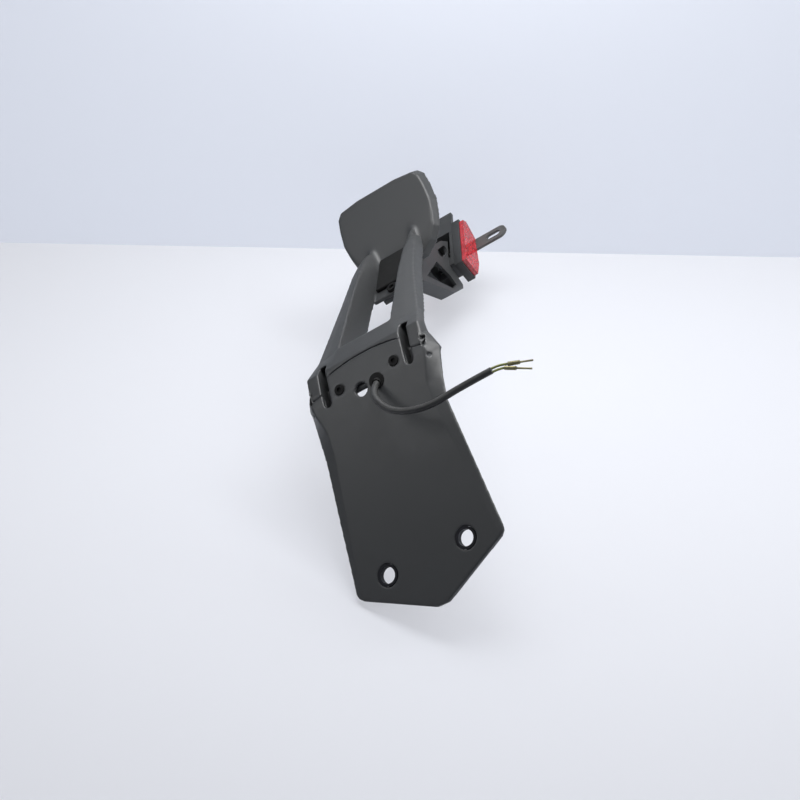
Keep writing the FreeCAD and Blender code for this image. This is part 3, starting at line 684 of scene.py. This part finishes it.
@dataclass
class PlateShell(MouldedShell):
    """The mount plate with its ears drawn up along the crossbar."""

    name: str = "plate_shell"
    node: str = "mount_plate"
    soften: int = 9
    ear: Corners = (
        (42.6, 134.6, -1.9), (46.0, 134.4, -9.2), (45.2, 134.8, -13.4), (42.6, 126.6, -0.2),
        (44.6, 126.4, -0.6), (50.9, 122.4, -9.2), (50.4, 121.0, -12.8), (44.4, 118.0, -0.4),
        (50.2, 118.0, -10.0), (42.6, 119.5, -2.8), (42.6, 134.0, -8.0), (43.6, 118.5, -8.0),
    )
    ear_mark: Corners = (
        (43.1, 131.6, 2), (44.9, 131.9, 2), (45.0, 123.2, 2), (43.0, 123.4, 2),
        (43.1, 131.6, -7), (44.9, 131.9, -7), (45.0, 123.2, -7), (43.0, 123.4, -7),
    )

    def added(self) -> Sequence[Corners]:
        """The ears."""
        return both_sides(self.ear)

    def last_cuts(self) -> Sequence[Corners]:
        """A small mark in each ear."""
        return both_sides(self.ear_mark)


@dataclass
class ScoopShadePad:
    """Near-black pad laid in the scoop under the hood as painted shade, in millimetres.

    It starts and ends along the scoop, counted from the scoop's lower end.
    """

    low: tuple[float, float] = (202.0, -80.0)
    tilt: float = 37.6
    start: float = 9.5
    end: float = 47.0
    half: float = 13.6
    thick: float = 2.7
    rounding: float = 0.9
    gap: float = 0.05

    def build(self) -> None:
        """Makes the painted-shade pad with rounded edges."""
        shape = bmesh.new()
        bmesh.ops.create_cube(shape, size=1.0)
        middle = (self.start + self.end) / 2
        bmesh.ops.scale(shape, vec=(2 * self.half, self.end - self.start, self.thick),
                        verts=shape.verts)
        bmesh.ops.bevel(shape, geom=shape.edges[:], offset=self.rounding, offset_type="OFFSET",
                        segments=3, profile=0.5, affect="EDGES", material=-1)
        bmesh.ops.translate(shape, vec=(0, middle, self.thick / 2 + self.gap),
                            verts=shape.verts)
        turn = Matrix.Rotation(-math.radians(self.tilt), 4, "X")
        place = Matrix.Translation((0, self.low[0], self.low[1]))
        bmesh.ops.transform(shape, matrix=Matrix.Scale(MILLIMETRE, 4) @ place @ turn,
                            verts=shape.verts)
        # The pad paints the scoop's shade with a near-black sheet.
        made = new_object("scoop_shade_pad", shape)
        for face in made.data.polygons:
            face.use_smooth = True
        made.data.materials.append(Finishes.SHADE_PAD.value.build())
        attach(made, "root")
        log.info("scoop shade pad: %d faces", len(made.data.polygons))


@dataclass
class CableTail:
    """The free cable from the mount plate to its two terminals."""

    diameter: float = 0.0044
    route: tuple[Point, ...] = (
        (0.0061, 0.1148, 0.0013),
        (0.0056, 0.1045, 0.0144),
        (0.0190, 0.0850, 0.0205),
        (0.0420, 0.0774, 0.0200),
        (0.0660, 0.0808, 0.0164),
        (0.0870, 0.0822, 0.0132),
    )

    def spline(self, name: str, bevel: float) -> bpy.types.Object:
        """Curve object along the route.

        Args:
            name: The object's name.
            bevel: Radius of the round section, or 0 for the bare line.

        Returns:
            The curve object.
        """
        curve = bpy.data.curves.new(name, "CURVE")
        curve.dimensions = "3D"
        curve.bevel_depth = bevel
        curve.bevel_resolution = 6
        curve.resolution_u = 16
        curve.use_fill_caps = True
        line = curve.splines.new("NURBS")
        line.points.add(len(self.route) - 1)
        for point, place in zip(line.points, self.route):
            point.co = (*place, 1.0)
        line.order_u = 3
        line.use_endpoint_u = True
        made = bpy.data.objects.new(name, curve)
        bpy.context.collection.objects.link(made)
        return made

    def length(self) -> float:
        """Length of the route's smooth line."""
        bare = self.spline("route_measure", 0.0)
        mesh = bpy.data.meshes.new_from_object(bare)
        points = [vertex.co.copy() for vertex in mesh.vertices]
        bpy.data.objects.remove(bare)
        return sum((b - a).length for a, b in zip(points, points[1:]))

    def build(self) -> None:
        tail = self.spline("cable", self.diameter / 2)
        tail.data.materials.append(Finishes.SHEATH.value.build())
        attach(tail, "root")
        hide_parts("cable_tail")
        self.length()
        log.info("cable: %.0f mm", self.length() * 1000)


@dataclass(frozen=True)
class SoftLight:
    """A soft square light that faces the middle of the part.

    Its place is given in steps along the photograph's right, up and back.
    """

    name: str
    place: Point
    size: float
    power: float
    aim: Point = (0.0, 0.115, 0.0)

    def hang(self, right: Vector, up: Vector) -> None:
        """Adds the light.

        Args:
            right: The photograph's right.
            up: The way that stands on the floor.
        """
        light = bpy.data.lights.new(self.name, "AREA")
        light.shape = "SQUARE"
        light.size = self.size
        light.energy = self.power
        made = bpy.data.objects.new(self.name, light)
        back = right.cross(up).normalized()
        steps = right * self.place[0] + up * self.place[1] + back * self.place[2]
        spot = Vector(self.aim) + steps
        heading = (spot - Vector(self.aim)).to_track_quat("Z", "Y")
        made.matrix_world = Matrix.Translation(spot) @ heading.to_matrix().to_4x4()
        bpy.context.collection.objects.link(made)
        log.info("%s: %.1f W", self.name, self.power)


@dataclass(frozen=True)
class Sheet:
    """A pale sheet of the studio: its own colour, and the even tone that the camera sees."""

    name: str
    colour: Colour
    pale: Colour
    evenness: float = 0.35
    half: float = 6.0

    def material(self) -> bpy.types.Material:
        """Matt material, evened out for the camera and clear to it from behind."""
        graph = NodeGraph(self.name)
        graph.shader.inputs["Base Color"].default_value = self.colour
        graph.shader.inputs["Roughness"].default_value = 0.9
        graph.shader.inputs["Specular IOR Level"].default_value = 0.1
        pale = graph.add("ShaderNodeEmission", Color=self.pale, Strength=1.0)
        soft = graph.add("ShaderNodeMixShader")
        clear = graph.add("ShaderNodeBsdfTransparent")
        mix = graph.add("ShaderNodeMixShader")
        geometry = graph.add("ShaderNodeNewGeometry")
        rays = graph.add("ShaderNodeLightPath")
        share = graph.add("ShaderNodeMath", operation="MULTIPLY")
        share.inputs[1].default_value = self.evenness
        graph.link(rays.outputs["Is Camera Ray"], share.inputs[0])
        graph.link(share.outputs[0], soft.inputs[0])
        graph.link(graph.shader.outputs[0], soft.inputs[1])
        graph.link(pale.outputs[0], soft.inputs[2])
        behind = graph.add("ShaderNodeMath", operation="MULTIPLY")
        graph.link(geometry.outputs["Backfacing"], behind.inputs[0])
        graph.link(rays.outputs["Is Camera Ray"], behind.inputs[1])
        graph.link(behind.outputs[0], mix.inputs[0])
        graph.link(soft.outputs[0], mix.inputs[1])
        graph.link(clear.outputs[0], mix.inputs[2])
        graph.link(mix.outputs[0], graph.output.inputs[0])
        return graph.material

    def lay(self, middle: Vector, normal: Vector, along: Vector) -> None:
        """Lays the sheet.

        Args:
            middle: Its middle.
            normal: The way it faces.
            along: One of its sides.
        """
        shape = bmesh.new()
        bmesh.ops.create_grid(shape, x_segments=1, y_segments=1, size=self.half)
        side = normal.cross(along).normalized()
        turn = Matrix((along.normalized(), side, normal.normalized())).transposed().to_4x4()
        bmesh.ops.transform(shape, matrix=Matrix.Translation(middle) @ turn, verts=shape.verts)
        made = new_object(self.name, shape)
        made.data.materials.append(self.material())
        log.info("%s laid", self.name)


@dataclass
class Studio:
    """Pale floor and backdrop, soft lights and the camera of the photograph."""

    right: Point = (0.8079, -0.3032, -0.5053)
    down: Point = (-0.4282, -0.8912, -0.1498)
    ahead: Point = (-0.4049, 0.3374, -0.8498)
    shift: Point = (0.01584, 0.09483, 1.090)
    lens: float = 81.0
    sensor: float = 36.0
    focal_pixels: float = 1800.0
    middle_pixel: float = 400.0
    pitch: float = math.radians(38.8)
    sky: float = 0.27
    sky_colour: Colour = (0.80, 0.84, 0.92, 1.0)
    floor_point: Point = (-0.0538, -0.0065, -0.0045)
    wall_foot: tuple[tuple[float, float], tuple[float, float]] = ((25, 243), (775, 257))
    floor_sheet: Sheet = Sheet("floor", (0.50, 0.515, 0.55, 1.0), (1.19, 1.20, 1.28, 1.0))
    wall_sheet: Sheet = Sheet("backdrop", (0.54, 0.565, 0.60, 1.0), (1.30, 1.36, 1.56, 1.0))
    lights: tuple[SoftLight, ...] = (
        SoftLight("key_light", (0.03, 0.34, -0.18), 0.35, 2.5),
        SoftLight("side_light", (0.54, 0.50, -0.2), 0.5, 5.2),
        SoftLight("left_fill", (-0.43, 0.26, 0.02), 0.22, 0.35),
    )

    def up(self) -> Vector:
        """World up of the photograph in the row frame."""
        lifted = -Vector(self.down) * math.cos(self.pitch)
        return (lifted - Vector(self.ahead) * math.sin(self.pitch)).normalized()

    def camera(self) -> None:
        """Places the camera of the photograph."""
        lens = bpy.data.cameras.new("camera")
        lens.lens = self.lens
        lens.sensor_width = self.sensor
        lens.clip_start = 0.05
        lens.clip_end = 50.0
        made = bpy.data.objects.new("camera", lens)
        right, up, back = Vector(self.right), -Vector(self.down), -Vector(self.ahead)
        right.normalize()
        back = (back - right * back.dot(right)).normalized()
        up = back.cross(right)
        turn = Matrix((right, up, back)).transposed()
        offset = Vector((self.shift[0], -self.shift[1], -self.shift[2]))
        made.matrix_world = Matrix.Translation(-(turn @ offset)) @ turn.to_4x4()
        bpy.context.collection.objects.link(made)
        bpy.context.scene.camera = made

    def eye(self) -> Vector:
        """Where the camera stands."""
        down, right, ahead = Vector(self.down), Vector(self.right), Vector(self.ahead)
        return -(right * self.shift[0] + down * self.shift[1] + ahead * self.shift[2])

    def on_floor(self, across: float, along: float) -> Vector:
        """Point of the floor that the photograph shows at a pixel.

        Args:
            across: Pixels from the picture's left.
            along: Pixels from its top.

        Returns:
            The point.
        """
        middle, focal = self.middle_pixel, self.focal_pixels
        ray = Vector(self.ahead) + Vector(self.right) * ((across - middle) / focal)
        ray += Vector(self.down) * ((along - middle) / focal)
        up = self.up()
        eye = self.eye()
        return eye + ray * ((Vector(self.floor_point) - eye).dot(up) / ray.dot(up))

    def floor(self) -> None:
        """Lays the floor under the part and stands the backdrop behind it."""
        up = self.up()
        left, right = (self.on_floor(*pixel) for pixel in self.wall_foot)
        along = (right - left).normalized()
        facing = along.cross(up).normalized()
        if facing.dot(self.eye() - left) < 0:
            facing = -facing
        middle = (left + right) / 2
        self.floor_sheet.lay(Vector(self.floor_point), up, along)
        self.wall_sheet.lay(middle + up * (self.wall_sheet.half - MILLIMETRE), facing, along)

    def world(self) -> None:
        """Pale surroundings that light the part evenly."""
        world = bpy.data.worlds.new("studio")
        world.use_nodes = True
        ground = world.node_tree.nodes["Background"]
        ground.inputs["Color"].default_value = self.sky_colour
        ground.inputs["Strength"].default_value = self.sky
        bpy.context.scene.world = world

    def build(self) -> None:
        """Makes the whole studio."""
        bpy.context.scene.view_settings.view_transform = "Standard"
        self.camera()
        self.floor()
        self.world()
        for light in self.lights:
            light.hang(Vector(self.right).normalized(), self.up())
        log.info("studio ready")


def main() -> None:
    """Builds the scene in order: studio, cord, dressed nodes, shells and the painted-shade pad.
    """
    logging.basicConfig(level=logging.INFO, format="%(name)s: %(message)s")
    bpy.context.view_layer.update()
    Studio().build()
    CableTail().build()
    dress_nodes()
    StemShell().build()
    PlateShell().build()
    ScoopShadePad().build()
    bpy.context.view_layer.update()


if __name__ == "__main__":
    main()
